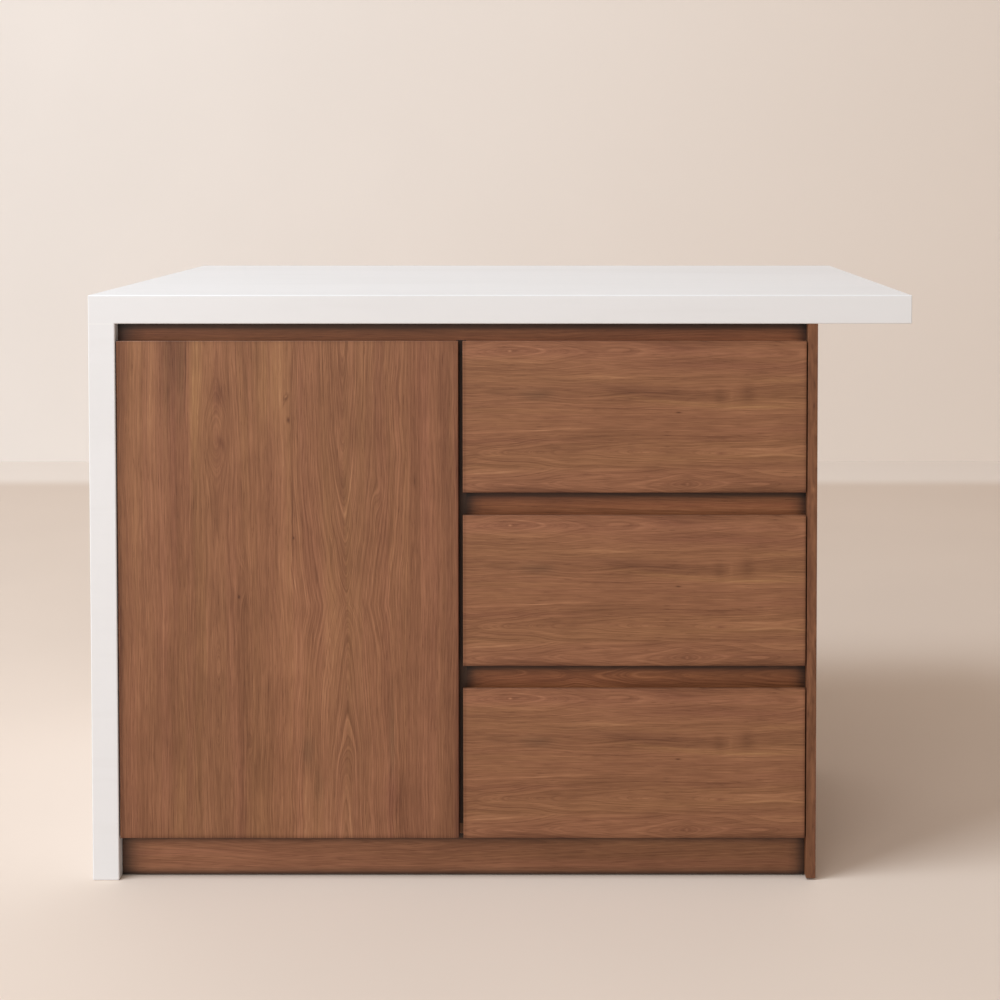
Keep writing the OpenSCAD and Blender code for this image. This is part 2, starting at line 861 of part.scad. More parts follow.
worktop();
waterfall_panel();
support_bars();
left_side();
centre_divider();
right_end_panel();
bottom_panel();
cabinet_back();
rear_panel();
top_rail();
drawer_rail(1);  // upper_drawer_rail
drawer_rail(2);  // lower_drawer_rail
rear_stretchers();
plinth_board();
plinth_clips();
leg_sockets();
levelling_feet();
end_panel_glides();
shelf();
shelf_pins();
carcass_dowels();
worktop_brackets();
hinge_plates();
hinge_arms();
hinge_arm_pins();
hinge_inner_links();
hinge_outer_links();
door_panel();
hinge_cups();
hinge_cup_pins();
door_bumpers();
drawer_front(0);  // top_drawer_front
drawer_inner_front(0);  // top_drawer_inner_front
drawer_side(0, box_l, box_l + box_t);  // top_drawer_left_side
drawer_side(0, box_r - box_t, box_r);  // top_drawer_right_side
drawer_back(0);  // top_drawer_back
drawer_bottom(0);  // top_drawer_bottom
drawer_members(0);  // top_drawer_members
middle_members(0);  // top_middle_members
cabinet_members(0);  // top_cabinet_members
drawer_front(1);  // middle_drawer_front
drawer_inner_front(1);  // middle_drawer_inner_front
drawer_side(1, box_l, box_l + box_t);  // middle_drawer_left_side
drawer_side(1, box_r - box_t, box_r);  // middle_drawer_right_side
drawer_back(1);  // middle_drawer_back
drawer_bottom(1);  // middle_drawer_bottom
drawer_members(1);  // middle_drawer_members
middle_members(1);  // middle_middle_members
cabinet_members(1);  // middle_cabinet_members
drawer_front(2);  // bottom_drawer_front
drawer_inner_front(2);  // bottom_drawer_inner_front
drawer_side(2, box_l, box_l + box_t);  // bottom_drawer_left_side
drawer_side(2, box_r - box_t, box_r);  // bottom_drawer_right_side
drawer_back(2);  // bottom_drawer_back
drawer_bottom(2);  // bottom_drawer_bottom
drawer_members(2);  // bottom_drawer_members
middle_members(2);  // bottom_middle_members
cabinet_members(2);  // bottom_cabinet_members
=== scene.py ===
import json
import math
import bpy
import bmesh
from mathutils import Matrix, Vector


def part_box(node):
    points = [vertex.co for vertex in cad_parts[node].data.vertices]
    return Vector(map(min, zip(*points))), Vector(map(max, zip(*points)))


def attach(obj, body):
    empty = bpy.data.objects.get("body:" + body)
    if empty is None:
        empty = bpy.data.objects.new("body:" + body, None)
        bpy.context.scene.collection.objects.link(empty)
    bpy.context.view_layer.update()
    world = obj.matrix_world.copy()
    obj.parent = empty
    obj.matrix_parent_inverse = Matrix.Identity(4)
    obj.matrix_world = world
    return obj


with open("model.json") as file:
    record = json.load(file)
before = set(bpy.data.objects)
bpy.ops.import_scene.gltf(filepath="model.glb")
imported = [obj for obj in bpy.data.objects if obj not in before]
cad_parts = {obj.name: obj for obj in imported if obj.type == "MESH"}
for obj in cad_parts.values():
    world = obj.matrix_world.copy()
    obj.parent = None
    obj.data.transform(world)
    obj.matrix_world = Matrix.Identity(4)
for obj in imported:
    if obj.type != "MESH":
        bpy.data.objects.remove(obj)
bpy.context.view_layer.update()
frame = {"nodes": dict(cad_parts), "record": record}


# Adds a node: values go to its inputs, linked where they are sockets, and settings to its own fields
def put(tree, kind, values=None, **settings):
    made = tree.nodes.new(kind)
    for name, value in settings.items():
        setattr(made, name, value)
    for key, value in (values or {}).items():
        socket = made.inputs[key]
        if isinstance(value, bpy.types.NodeSocket):
            tree.links.new(value, socket)
        else:
            socket.default_value = value
    return made


# One step of arithmetic, on sockets or plain values
def calc(tree, operation, *values):
    return put(tree, "ShaderNodeMath", dict(enumerate(values)), operation=operation).outputs[0]


def total(tree, *values):
    result = values[0]
    for value in values[1:]:
        result = calc(tree, "ADD", result, value)
    return result


def product(tree, *values):
    result = values[0]
    for value in values[1:]:
        result = calc(tree, "MULTIPLY", result, value)
    return result


def stretched(tree, vector, scale):
    return put(tree, "ShaderNodeMapping", {"Vector": vector, "Scale": scale}).outputs[0]


def noise(tree, vector, scale=1.0, detail=2.0, roughness=0.5, distortion=0.0):
    return put(tree, "ShaderNodeTexNoise", {"Vector": vector, "Scale": scale, "Detail": detail,
                                            "Roughness": roughness, "Distortion": distortion}).outputs[0]


# A value that goes smoothly from 0 to 1 while x goes from low to high
def rise(tree, x, low, high):
    return put(tree, "ShaderNodeMapRange", {0: x, 1: low, 2: high, 3: 0.0, 4: 1.0},
               interpolation_type="SMOOTHSTEP").outputs[0]


cloudTurn = (0.3, 0.7)   # where soft noise goes from one tone to the other


def ramp(tree, factor, stops, blend="LINEAR"):
    made = put(tree, "ShaderNodeValToRGB", {0: factor})
    made.color_ramp.interpolation = blend
    elements = made.color_ramp.elements
    while len(elements) < len(stops):
        elements.new(0.5)
    for element, (place, colour) in zip(elements, stops):
        element.position = place
        element.color = (*colour, 1.0)
    return made.outputs[0]


def mixed(tree, factor, a, b, blend="MIX"):
    made = put(tree, "ShaderNodeMix", {0: factor, 6: a, 7: b}, data_type="RGBA", blend_type=blend)
    return made.outputs[2]


# A colour as a screen shows it, 0 to 255, in the linear values that a shader takes
def linear(*rgb):
    return tuple(((c / 255 + 0.055) / 1.055) ** 2.4 if c > 10.3 else c / 255 / 12.92 for c in rgb)


# A new material: itself, its tree, its shader, and the place on the object that patterns read
def newFinish(name, **fixed):
    made = bpy.data.materials.new(name)
    made.use_nodes = True
    tree = made.node_tree
    shader = tree.nodes["Principled BSDF"]
    for key, value in fixed.items():
        shader.inputs[key.replace("_", " ")].default_value = value
    place = put(tree, "ShaderNodeTexCoord").outputs["Object"]
    return made, tree, shader, place


def bumped(tree, shader, height, distance, strength):
    made = put(tree, "ShaderNodeBump", {"Strength": strength, "Distance": distance, "Height": height})
    tree.links.new(made.outputs[0], shader.inputs["Normal"])


# Sizes of the unit, read from its solids
axisOrder = "xyz"
doorLow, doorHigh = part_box("door_panel")
drawerLow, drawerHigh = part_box("top_drawer_front")
nextLow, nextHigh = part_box("middle_drawer_front")
drawerPitch = drawerHigh.z - nextHigh.z
dividerLow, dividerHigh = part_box("centre_divider")
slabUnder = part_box("worktop")[0].z
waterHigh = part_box("waterfall_panel")[1]
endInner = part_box("right_end_panel")[0].x


# A leaf is one strip of veneer. Its lines follow a field: the distance across from the leaf's heart plus a
# part that grows along it, so that they close up in arches where the strip was cut flat through the tree.
# Rows are (start, (lightness, warmth, line strength), (heart, slope, turning point)), in millimetres.
# Marks are (across, along, half width, half length, slant, lightness, yellowness, greyness).
# Eyes are (across, along, half width, half length, height of the swelling in the field).

veneerLook = {
    "gloss": 0.5, "tones": [(0.0, linear(85, 47, 26)), (0.28, linear(113, 71, 45)), (0.5, linear(133, 87.5, 59)),
                            (0.72, linear(153, 104.5, 73)), (1.0, linear(183, 133.5, 98))],
    "tipRound": 0.005, "tipReach": 0.6, "tipSpread": 0.045,   # how the arches of a leaf close
    "leafStep": 0.37,            # shifts the lines of one leaf against those of the next
    "swirlFrom": (0.50, 0.72),   # only leaves with lines this strong are wavy
    "thinLine": 0.045, "thinBase": 0.8, "thinWhere": (-0.10, 0.16), "poreCut": (0.13, 0.24),
    "lightSpan": 0.8, "warmSpan": 2.0,   # what a leaf's own lightness and warmth count for
    "warmHue": (-0.006, 0.024, -0.030), "greyHue": (-0.05, 0.005, 0.04), "frontEdgeHue": (1.0, 0.97, 0.93),
    "broadMark": 14, "markRim": 0.22, "markStrength": 1.35, "jointTrim": 0.012, "frontEdgeThick": 0.0006,
    "poreRough": 0.08, "toneRough": -0.06, "lineBump": 0.6, "bumpDepth": 0.00010, "bump": 0.5,
    "seedStep": 1.37, "deepScale": 160.0,
}
# Layers of noise in the wood: scale across the grain, scale along it, detail, roughness, strength
grainLayers = {
    "wander": (6, 1.8, 2.0, 0.5, 0.024), "sway": (28, 7, 2.0, 0.5, 0.006), "tremble": (90, 24, 2.0, 0.5, 0.0016),
    "swirl": (15, 9, 1.0, 0.5, 0.018), "rings": (115, 1.6, 2.0, 0.6, 0.26), "fine": (360, 3.0, 2.0, 0.6, 0.74),
    "hair": (720, 8.0, 1.0, 0.5, 0.66), "thin": (200, 1.6, 1.0, 0.5, 0.15), "where": (16, 5, 2.0, 0.5, 1.0),
    "broad": (17, 0.8, 2.0, 0.5, 0.62), "bands": (60, 1.3, 1.0, 0.5, 0.18), "mottle": (16, 11, 2.0, 0.5, 0.30),
    "fibre": (900, 30, 1.0, 0.5, 0.46), "pores": (800, 45, 1.0, 0.5, -0.15),
    "warmBroad": (22, 0.9, 2.0, 0.5, 6.0), "warmFine": (75, 1.8, 2.0, 0.5, 3.5), "grey": (9, 1.4, 2.0, 0.5, 0.9),
}


# A soft round patch: 1 at its middle, down to a fifth at its rim, and flatter on top where it is wide
def blob(tree, u, v, mark):
    across, along, halfWidth, halfLength = (value / 1000 for value in mark[:4])
    dv = calc(tree, "SUBTRACT", v, along)
    du = calc(tree, "SUBTRACT", calc(tree, "SUBTRACT", u, across), calc(tree, "MULTIPLY", dv, mark[4]))
    du = calc(tree, "DIVIDE", du, halfWidth)
    dv = calc(tree, "DIVIDE", dv, halfLength)
    du = product(tree, du, du)
    if mark[2] > veneerLook["broadMark"]:
        du = product(tree, du, du)
    return calc(tree, "POWER", veneerLook["markRim"], total(tree, du, product(tree, dv, dv)))


# The look and the heart of the leaf that a share of the panel's width falls on
def leafRamps(tree, share, leaves):
    width = leaves["width"]
    looks, hearts = [], []
    for start, look, heart in leaves["rows"]:
        looks.append((start / width, look))
        hearts.append((start / width, (heart[0] / width, 0.5 + heart[1], heart[2] / 1000)))
    return [put(tree, "ShaderNodeSeparateColor", {0: ramp(tree, share, rows, "CONSTANT")}).outputs
            for rows in (looks, hearts)]


# What the lines of the veneer follow. The arches round off at their tips and close up over a set reach.
def lineField(tree, layer, bent, v, look, heart, leaves, eyes):
    side = calc(tree, "SUBTRACT", bent, calc(tree, "MULTIPLY", heart[0], leaves["width"] / 1000))
    side = calc(tree, "SQRT", calc(tree, "ADD", product(tree, side, side), veneerLook["tipRound"] ** 2))
    reach = calc(tree, "ABSOLUTE", calc(tree, "SUBTRACT", v, heart[2]))
    reach = calc(tree, "DIVIDE", reach, calc(tree, "MULTIPLY_ADD", reach, 1 / veneerLook["tipReach"], 1.0))
    spread = calc(tree, "MULTIPLY_ADD", product(tree, side, side), veneerLook["tipSpread"] ** -2, 1.0)
    climb = calc(tree, "DIVIDE", product(tree, reach, calc(tree, "SUBTRACT", heart[1], 0.5)), spread)
    swirl = product(tree, layer(bent, "swirl"), rise(tree, look[2], *veneerLook["swirlFrom"]))
    field = total(tree, calc(tree, "SUBTRACT", side, climb), swirl)
    for eyeMark in eyes:
        swelling = blob(tree, bent, v, (*eyeMark[:4], 0.0))
        field = calc(tree, "MULTIPLY_ADD", swelling, eyeMark[4] / 1000, field)
    return calc(tree, "MULTIPLY_ADD", look[0], veneerLook["leafStep"], field)


# What the wood's tone is multiplied by where it is warmer or greyer than the rest
def hueOf(tree, warm, grey):
    parts = [total(tree, 1.0, product(tree, warm, warmPart), product(tree, grey, greyPart))
             for warmPart, greyPart in zip(veneerLook["warmHue"], veneerLook["greyHue"])]
    return put(tree, "ShaderNodeCombineColor", dict(enumerate(parts))).outputs[0]


# Grain and across name axes. Zero is the panel's corner, across and along; turn is -1 where the figure starts at
# the high end, and pitch is the step at which it starts again. Dark front edge, tint, painted shade and patch lie
# over the wood.
def walnut(name, grain, across, zero, turn=1.0, pitch=None, seed=0.0, shade=0.0, leaves=None,
           marks=(), eyes=(), calm=1.0, darkFrontEdge=None, stains=(), tint=None, patch=None):
    made, tree, shader, place = newFinish(name, Roughness=veneerLook["gloss"], Specular_IOR_Level=0.35)
    axes = put(tree, "ShaderNodeSeparateXYZ", {0: place}).outputs
    axisAcross, axisAlong = (axes[axisOrder.index(axis)] for axis in (across, grain))
    axisDeep = axes[({0, 1, 2} - {axisOrder.index(grain), axisOrder.index(across)}).pop()]
    u = calc(tree, "MULTIPLY", calc(tree, "SUBTRACT", axisAcross, zero[0]), turn)
    if pitch:
        u = calc(tree, "WRAP", u, pitch - veneerLook["jointTrim"], -veneerLook["jointTrim"])
    v = calc(tree, "SUBTRACT", axisAlong, zero[1])
    if grain == "z":
        v = calc(tree, "MULTIPLY", v, -1.0)
    deep = calc(tree, "ADD", axisDeep, seed * veneerLook["seedStep"])

    def bareLayer(x, key):
        scaleAcross, scaleAlong, detail, roughness, _ = grainLayers[key]
        spot = put(tree, "ShaderNodeCombineXYZ", {
            0: calc(tree, "MULTIPLY", x, scaleAcross),
            1: calc(tree, "MULTIPLY", deep, min(scaleAcross, veneerLook["deepScale"])),
            2: calc(tree, "MULTIPLY", v, scaleAlong)}).outputs[0]
        return calc(tree, "SUBTRACT", noise(tree, spot, detail=detail, roughness=roughness), 0.5)

    def layer(x, key):
        return product(tree, bareLayer(x, key), grainLayers[key][-1])

    bent = total(tree, u, layer(u, "wander"), layer(u, "sway"), layer(u, "tremble"))
    share = calc(tree, "DIVIDE", u, leaves["width"] / 1000)
    look, heart = leafRamps(tree, share, leaves)
    field = lineField(tree, layer, bent, v, look, heart, leaves, eyes)
    thin = rise(tree, calc(tree, "ABSOLUTE", bareLayer(field, "thin")), 0.0, veneerLook["thinLine"])
    thin = product(tree, calc(tree, "SUBTRACT", thin, veneerLook["thinBase"]), grainLayers["thin"][-1],
                   rise(tree, bareLayer(u, "where"), *veneerLook["thinWhere"]))
    lines = total(tree, layer(field, "rings"), layer(field, "fine"), layer(field, "hair"), thin)
    broad = total(tree, layer(bent, "broad"), layer(bent, "bands"), layer(bent, "mottle"))
    pores = rise(tree, bareLayer(bent, "pores"), *veneerLook["poreCut"])
    tone = total(tree, 0.5 + shade, product(tree, calc(tree, "SUBTRACT", look[0], 0.5), veneerLook["lightSpan"]),
                 product(tree, broad, calm), product(tree, lines, look[2], calm), layer(bent, "fibre"),
                 product(tree, pores, grainLayers["pores"][-1]))
    warm = total(tree, product(tree, calc(tree, "SUBTRACT", look[1], 0.5), veneerLook["warmSpan"]),
                 product(tree, layer(bent, "warmBroad"), calm), product(tree, layer(bent, "warmFine"), calm))
    grey = product(tree, layer(bent, "grey"), calm)
    for mark in marks:
        mask = blob(tree, bent, v, mark)
        lightness, yellowness, greyness = (value * veneerLook["markStrength"] for value in mark[5:])
        tone = calc(tree, "MULTIPLY_ADD", mask, lightness, tone)
        if yellowness:
            warm = calc(tree, "MULTIPLY_ADD", mask, yellowness, warm)
        if greyness:
            grey = calc(tree, "MULTIPLY_ADD", mask, greyness, grey)
    colour = mixed(tree, 1.0, ramp(tree, tone, veneerLook["tones"]), hueOf(tree, warm, grey), "MULTIPLY")
    # The front edge is painted darker; on the divider this is painted shade in the gap between the door and the
    # drawers
    if darkFrontEdge:
        dark = tuple(darkFrontEdge[1] * part for part in veneerLook["frontEdgeHue"])
        onFrontEdge = calc(tree, "LESS_THAN", axes[1], darkFrontEdge[0])
        colour = mixed(tree, onFrontEdge, colour, mixed(tree, 1.0, colour, (*dark, 1), "MULTIPLY"))
    if tint:
        colour = mixed(tree, 1.0, colour, (*tint, 1), "MULTIPLY")
    # Painted shade: the colour darkens towards an edge where shade falls
    for axis, edge, way, depth, levels in stains:
        inward = calc(tree, "SUBTRACT", axes[axisOrder.index(axis)], edge)
        inward = calc(tree, "MULTIPLY", inward, way / depth)
        level = ramp(tree, inward, [(place, (value, value, value)) for place, value in paintedShadeLook[levels]])
        colour = mixed(tree, 1.0, colour, level, "MULTIPLY")
    # Painted shade: the rail behind the gap between the door and the drawers is painted near black
    if patch:
        inside = product(tree, calc(tree, "GREATER_THAN", axes[0], patch[0]),
                         calc(tree, "LESS_THAN", axes[0], patch[1]), calc(tree, "LESS_THAN", axes[2], patch[2]))
        colour = mixed(tree, product(tree, inside, 1 - paintedShadeLook["gap"]), colour, (0, 0, 0, 1))
    tree.links.new(colour, shader.inputs["Base Color"])
    rough = total(tree, veneerLook["gloss"], product(tree, pores, veneerLook["poreRough"]),
                  product(tree, tone, veneerLook["toneRough"]))
    tree.links.new(rough, shader.inputs["Roughness"])
    relief = calc(tree, "SUBTRACT", product(tree, lines, veneerLook["lineBump"]), pores)
    bumped(tree, shader, relief, veneerLook["bumpDepth"], veneerLook["bump"])
    return made


doorFigure = {
    "leaves": {"width": 528, "rows": [
        (0, (0.50, 0.42, 0.45), (98, 0.03, 420)), (109.7, (0.52, 0.58, 0.50), (157, -0.06, 560)),
        (267.4, (0.47, 0.40, 0.72), (353, 0.27, 410)), (447, (0.47, 0.40, 0.42), (540, 0.04, 300))]},
    "eyes": [
        (156, 146, 24, 70, -20), (157, 506, 9, 26, -8), (157, 610, 7, 22, -7), (103, 252, 6, 60, -8),
        (198, 372, 12, 45, -10), (408, 235, 9, 50, -10), (206, 625, 7, 30, -8), (353, 640, 12, 60, 8)],
    # The marks along the door's edges, at across 0, 3 and 529 and along -2 and 778, are painted shade: the front
    # darkens towards its edges
    "marks": [
        (87, 30, 21, 110, 0, -0.08, 0.1, 0.4), (104, 55, 5, 90, 0, -0.07, 0.4, 0.5),
        (52, 60, 9, 200, 0, 0.09, 0.6, 0), (110, 60, 1.0, 100, 0, -0.36, 0, 0),
        (76, 430, 9, 150, 0, 0.06, 0, 0), (0, 380, 5, 900, 0, -0.20, 0, 0),
        (3, 380, 18, 900, 0, -0.11, -0.4, 0), (264, -2, 300, 6, 0, -0.10, 0, 0),
        (264, 778, 300, 6.5, 0, -0.24, 0, 0), (529, 390, 6.5, 900, 0, -0.26, 0, 0),
        (123, 90, 13, 130, 0, 0.15, 0.9, 0), (161, 84, 14, 22, 0, -0.10, -0.6, 0),
        (162, 126, 6, 22, 0, 0.10, 0.5, 0), (164, 158, 5, 14, 0.3, -0.14, -0.6, 0),
        (177.5, 70, 1.0, 32, 0, -0.16, 0, 0), (150, 210, 7, 14, 0, 0.07, 0, 0),
        (236, 70, 26, 95, 0, 0.13, 0.9, 0), (234, 130, 2.2, 50, 0, 0.10, 0, 0),
        (262.3, 87, 4.4, 6.5, -0.3, -0.38, 0, 0), (262.0, 86, 2.0, 3.2, -0.3, 0.46, 0, 0),
        (259, 97, 1.6, 6, -0.4, -0.14, 0, 0), (265, 122.5, 2.8, 5.0, 0, -0.40, -1, 0),
        (267.8, 250, 1.0, 160, 0, -0.24, 0, 0), (269.5, 306, 1.3, 3, 0, -0.35, 0, 0),
        (270, 470, 0.9, 130, 0, 0.13, 0, 0), (296, 330, 15, 160, 0, -0.04, -0.8, 0),
        (448.5, 330, 0.9, 230, -0.01, 0.18, 0, 0), (445, 640, 0.9, 140, 0, 0.12, 0, 0),
        (514, 130, 5, 120, 0.02, 0.12, 0.6, 0), (458, 216, 4, 12, 0, -0.08, 0, 0),
        (188, 398, 1.8, 3.2, 0, -0.45, 0, 0), (188.5, 420, 1.0, 14, 0, -0.14, 0, 0),
        (228.5, 540, 0.9, 20, 0, -0.24, 0, 0), (290, 640, 12, 32, 0, -0.12, 0, 0.9),
        (308, 697, 10, 34, 0, -0.10, 0.3, 0.5), (425, 622, 6, 80, 0, -0.08, 0.4, 0.9),
        (427, 705, 14, 40, 0, -0.06, -1.2, 0), (324, 565, 3, 60, 0, -0.10, 0, 0),
        (60, 700, 22, 120, 0, 0.04, -0.6, 0)],
}
drawerFigure = {
    "leaves": {"width": 235.3, "rows": [
        (0, (0.51, 0.50, 0.66), (17, -0.14, 73)), (107.3, (0.50, 0.42, 0.40), (60, 0.02, 600)),
        (146, (0.48, 0.45, 0.72), (173, 0.15, 20)), (197, (0.49, 0.45, 0.74), (221, -0.15, 348))]},
    "eyes": [
        (12, 245, 6, 30, -6), (10, 420, 6, 40, -6), (173, 75, 6, 18, -5), (173, 118, 6, 14, -6),
        (173, 149, 5, 12, -5), (173, 280, 6, 26, -6), (175, 402, 7, 34, -8), (222, 70, 8, 40, -7),
        (222, 470, 8, 36, -7)],
    # The marks along the drawer fronts' edges, at across -1 and 236 and along 2.5 and 533, are painted shade: each
    # front darkens towards its edges
    "marks": [
        (-1, 266, 4, 900, 0, -0.12, 0, 0), (236, 266, 6.5, 900, 0, -0.28, 0, 0),
        (118, 2.5, 400, 3, 0, -0.12, 0, 0), (118, 533, 400, 4.5, 0, -0.22, 0, 0),
        (16.8, 73, 2.2, 3.6, 0, 0.34, 0.6, 0), (57, 215, 2.2, 70, 0.01, 0.13, 0, 0),
        (57, 228, 4, 30, 0.01, 0.06, 0, 0), (76, 260, 11, 150, 0.09, -0.11, -0.3, 0.2),
        (87, 115, 11, 34, 0, -0.12, 0, 0.9), (84, 58, 12, 24, 0, -0.08, 0, 0.2),
        (84, 398, 15, 12, 0, -0.11, 0, 0), (82, 441, 17, 14, 0, -0.11, 0, 0), (84, 416, 14, 4, 0, 0.05, 0, 0),
        (101, 450, 5, 120, 0, 0.09, 1.6, 0), (60, 490, 5, 60, 0, 0.06, 0.8, 0),
        (92, 300, 4, 90, 0.07, 0.06, 1.0, 0), (107.4, 250, 0.8, 300, 0, -0.13, 0, 0),
        (111.5, 334, 1.5, 4.5, 0, -0.42, 0, 0), (140, 140, 1.0, 130, -0.035, 0.16, 0, 0),
        (147.8, 380, 1.0, 130, 0, -0.20, -0.5, 0), (152, 400, 4, 120, 0, -0.07, -0.6, 0),
        (175, 400, 3, 10, 0, -0.16, -1, 0), (10, 330, 8, 60, 0.05, -0.04, -0.8, 0),
        (35, 380, 9, 140, 0.02, -0.04, -0.6, 0), (125, 60, 12, 60, 0, 0.04, 0.4, 0)],
}


# Leaves for panels whose figure isn't seen in full: much the same widths, turned and shifted by a seed
plainLook = {"wide": 150, "uneven": 0.2, "lightness": (0.5, 0.05), "warmth": (0.5, 0.12), "lines": (0.7, 0.25),
             "heart": (0.5, 0.3), "slope": 0.12, "turning": (400, 300), "swing": (7.1, 2.4), "sway": (3.3, 4.7)}


def plainLeaves(width, seed):
    rows, start, number = [], 0.0, 0
    while start < width:
        swing, sway = (math.sin(seed * plainLook[key][0] + number * plainLook[key][1])
                       for key in ("swing", "sway"))
        look = tuple(plainLook[key][0] + plainLook[key][1] * turn
                     for key, turn in (("lightness", swing), ("warmth", sway), ("lines", sway)))
        heart, turning = (plainLook[key][0] + plainLook[key][1] * swing for key in ("heart", "turning"))
        rows.append((start, look, (start + plainLook["wide"] * heart, plainLook["slope"] * sway, turning)))
        start += plainLook["wide"] * (1.0 + plainLook["uneven"] * sway)
        number += 1
    return {"width": width, "rows": rows}


# Walnut for one solid. The dark front edge is how dark the board's front edge is painted; on the divider this is
# painted shade.
def plainWalnut(name, node, grain, across, seed, shade=0.0, calm=1.0, darkFrontEdge=None, **more):
    low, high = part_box(node)
    acrossNumber = axisOrder.index(across)
    width = (high[acrossNumber] - low[acrossNumber]) * 1000
    top = high.z if grain == "z" else low[axisOrder.index(grain)]
    if darkFrontEdge:
        darkFrontEdge = (low.y + veneerLook["frontEdgeThick"], darkFrontEdge)
    return walnut(name, grain, across, (low[acrossNumber], top), seed=seed, shade=shade, calm=calm, darkFrontEdge=darkFrontEdge,
                  leaves=plainLeaves(width, seed), **more)


# Painted shade: the rails in the finger channels and the plinth are painted darker towards the edges around them,
# where shade falls under the fronts and the worktop, at their ends and at the plinth's foot, so that they read as
# gaps. Levels are (share of the depth, lightness); painted shades are (axis, edge, way in, depth, levels), and a
# patch is (left, right, top) of painted shade for the dark gap between the door and the drawers. The rail tint
# darkens and warms the rails.
paintedShadeLook = {
    "under": [(0.0, 0.05), (0.10, 0.15), (0.20, 0.19), (0.28, 0.36), (0.37, 0.66), (0.48, 0.78), (0.64, 0.95),
              (1.0, 1.0)],
    "end": [(0.0, 0.20), (0.20, 0.34), (0.60, 0.80), (1.0, 1.0)],
    "foot": [(0.0, 0.20), (0.25, 0.38), (0.5, 0.75), (1.0, 1.0)],
    "gap": 0.12, "rail": 0.034, "plinth": 0.026, "footDepth": 0.013, "leftEnd": 0.046, "rightEnd": 0.026,
    "railTint": (1.0, 0.84, 0.71),
}
doorVeneer = walnut("walnutDoor", "z", "x", (doorLow.x, doorHigh.z), seed=1.0, shade=-0.02, **doorFigure)
drawerVeneer = walnut("walnutDrawers", "x", "z", (drawerHigh.z, drawerLow.x), turn=-1.0, pitch=drawerPitch,
                      seed=2.0, shade=0.02, calm=0.82, **drawerFigure)
rightEnd = ("x", endInner, -1, paintedShadeLook["rightEnd"], "end")
leftEnd = ("x", waterHigh.x, 1, paintedShadeLook["leftEnd"], "end")
innerEnd = ("x", dividerHigh.x, 1, paintedShadeLook["rightEnd"], "end")
railFinish = {
    "top_rail": plainWalnut(
        "walnutTopRail", "top_rail", "x", "z", seed=3.0, shade=0.05, tint=paintedShadeLook["railTint"],
        stains=(("z", slabUnder, -1, paintedShadeLook["rail"], "under"), leftEnd, rightEnd),
        patch=(dividerLow.x, dividerHigh.x, doorHigh.z)),
    "upper_drawer_rail": plainWalnut(
        "walnutUpperRail", "upper_drawer_rail", "x", "z", seed=3.6, shade=0.07, tint=paintedShadeLook["railTint"],
        stains=(("z", drawerLow.z, -1, paintedShadeLook["rail"], "under"), innerEnd, rightEnd)),
    "lower_drawer_rail": plainWalnut(
        "walnutLowerRail", "lower_drawer_rail", "x", "z", seed=4.3, shade=0.08, tint=paintedShadeLook["railTint"],
        stains=(("z", nextLow.z, -1, paintedShadeLook["rail"], "under"), innerEnd, rightEnd)),
}
plinthVeneer = plainWalnut(
    "walnutPlinth", "plinth_board", "x", "z", seed=7.0, shade=0.03,
    stains=(("z", doorLow.z, -1, paintedShadeLook["plinth"], "under"), leftEnd, rightEnd,
            ("z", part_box("plinth_board")[0].z, 1, paintedShadeLook["footDepth"], "foot")))
endVeneer = plainWalnut("walnutEnd", "right_end_panel", "z", "y", seed=4.0, shade=-0.10, calm=0.9, darkFrontEdge=0.76)
rearVeneer = plainWalnut("walnutRear", "rear_panel", "z", "x", seed=5.0)
boardFinish = plainWalnut("walnutCarcass", "left_side", "z", "y", seed=6.0, shade=-0.05, calm=0.6)
# The divider's dark front edge is painted shade, so that the gap between the door and the drawers reads dark
dividerFinish = plainWalnut("walnutDivider", "centre_divider", "z", "y", seed=8.0, shade=-0.05, calm=0.6,
                            darkFrontEdge=0.20)
print("walnut made")


stoneLook = {"colour": linear(228.5, 229, 231), "deep": linear(222.5, 222.5, 223.5), "roughness": 0.36,
             "joint": linear(238, 238, 237), "jointLine": 0.0007,
             "cloud": (1.2, 5.0, 5.0), "streak": (3.0, 40.0, 40.0), "grit": 900.0,
             "cloudFrom": (0.42, 0.70), "streakFrom": (0.5, 0.75),
             "cloudShare": 0.45, "streakShare": 0.35, "gritShare": 0.16,
             "smoother": -0.03, "cloudRough": 0.06, "gritDepth": 0.00004, "bump": 0.3}


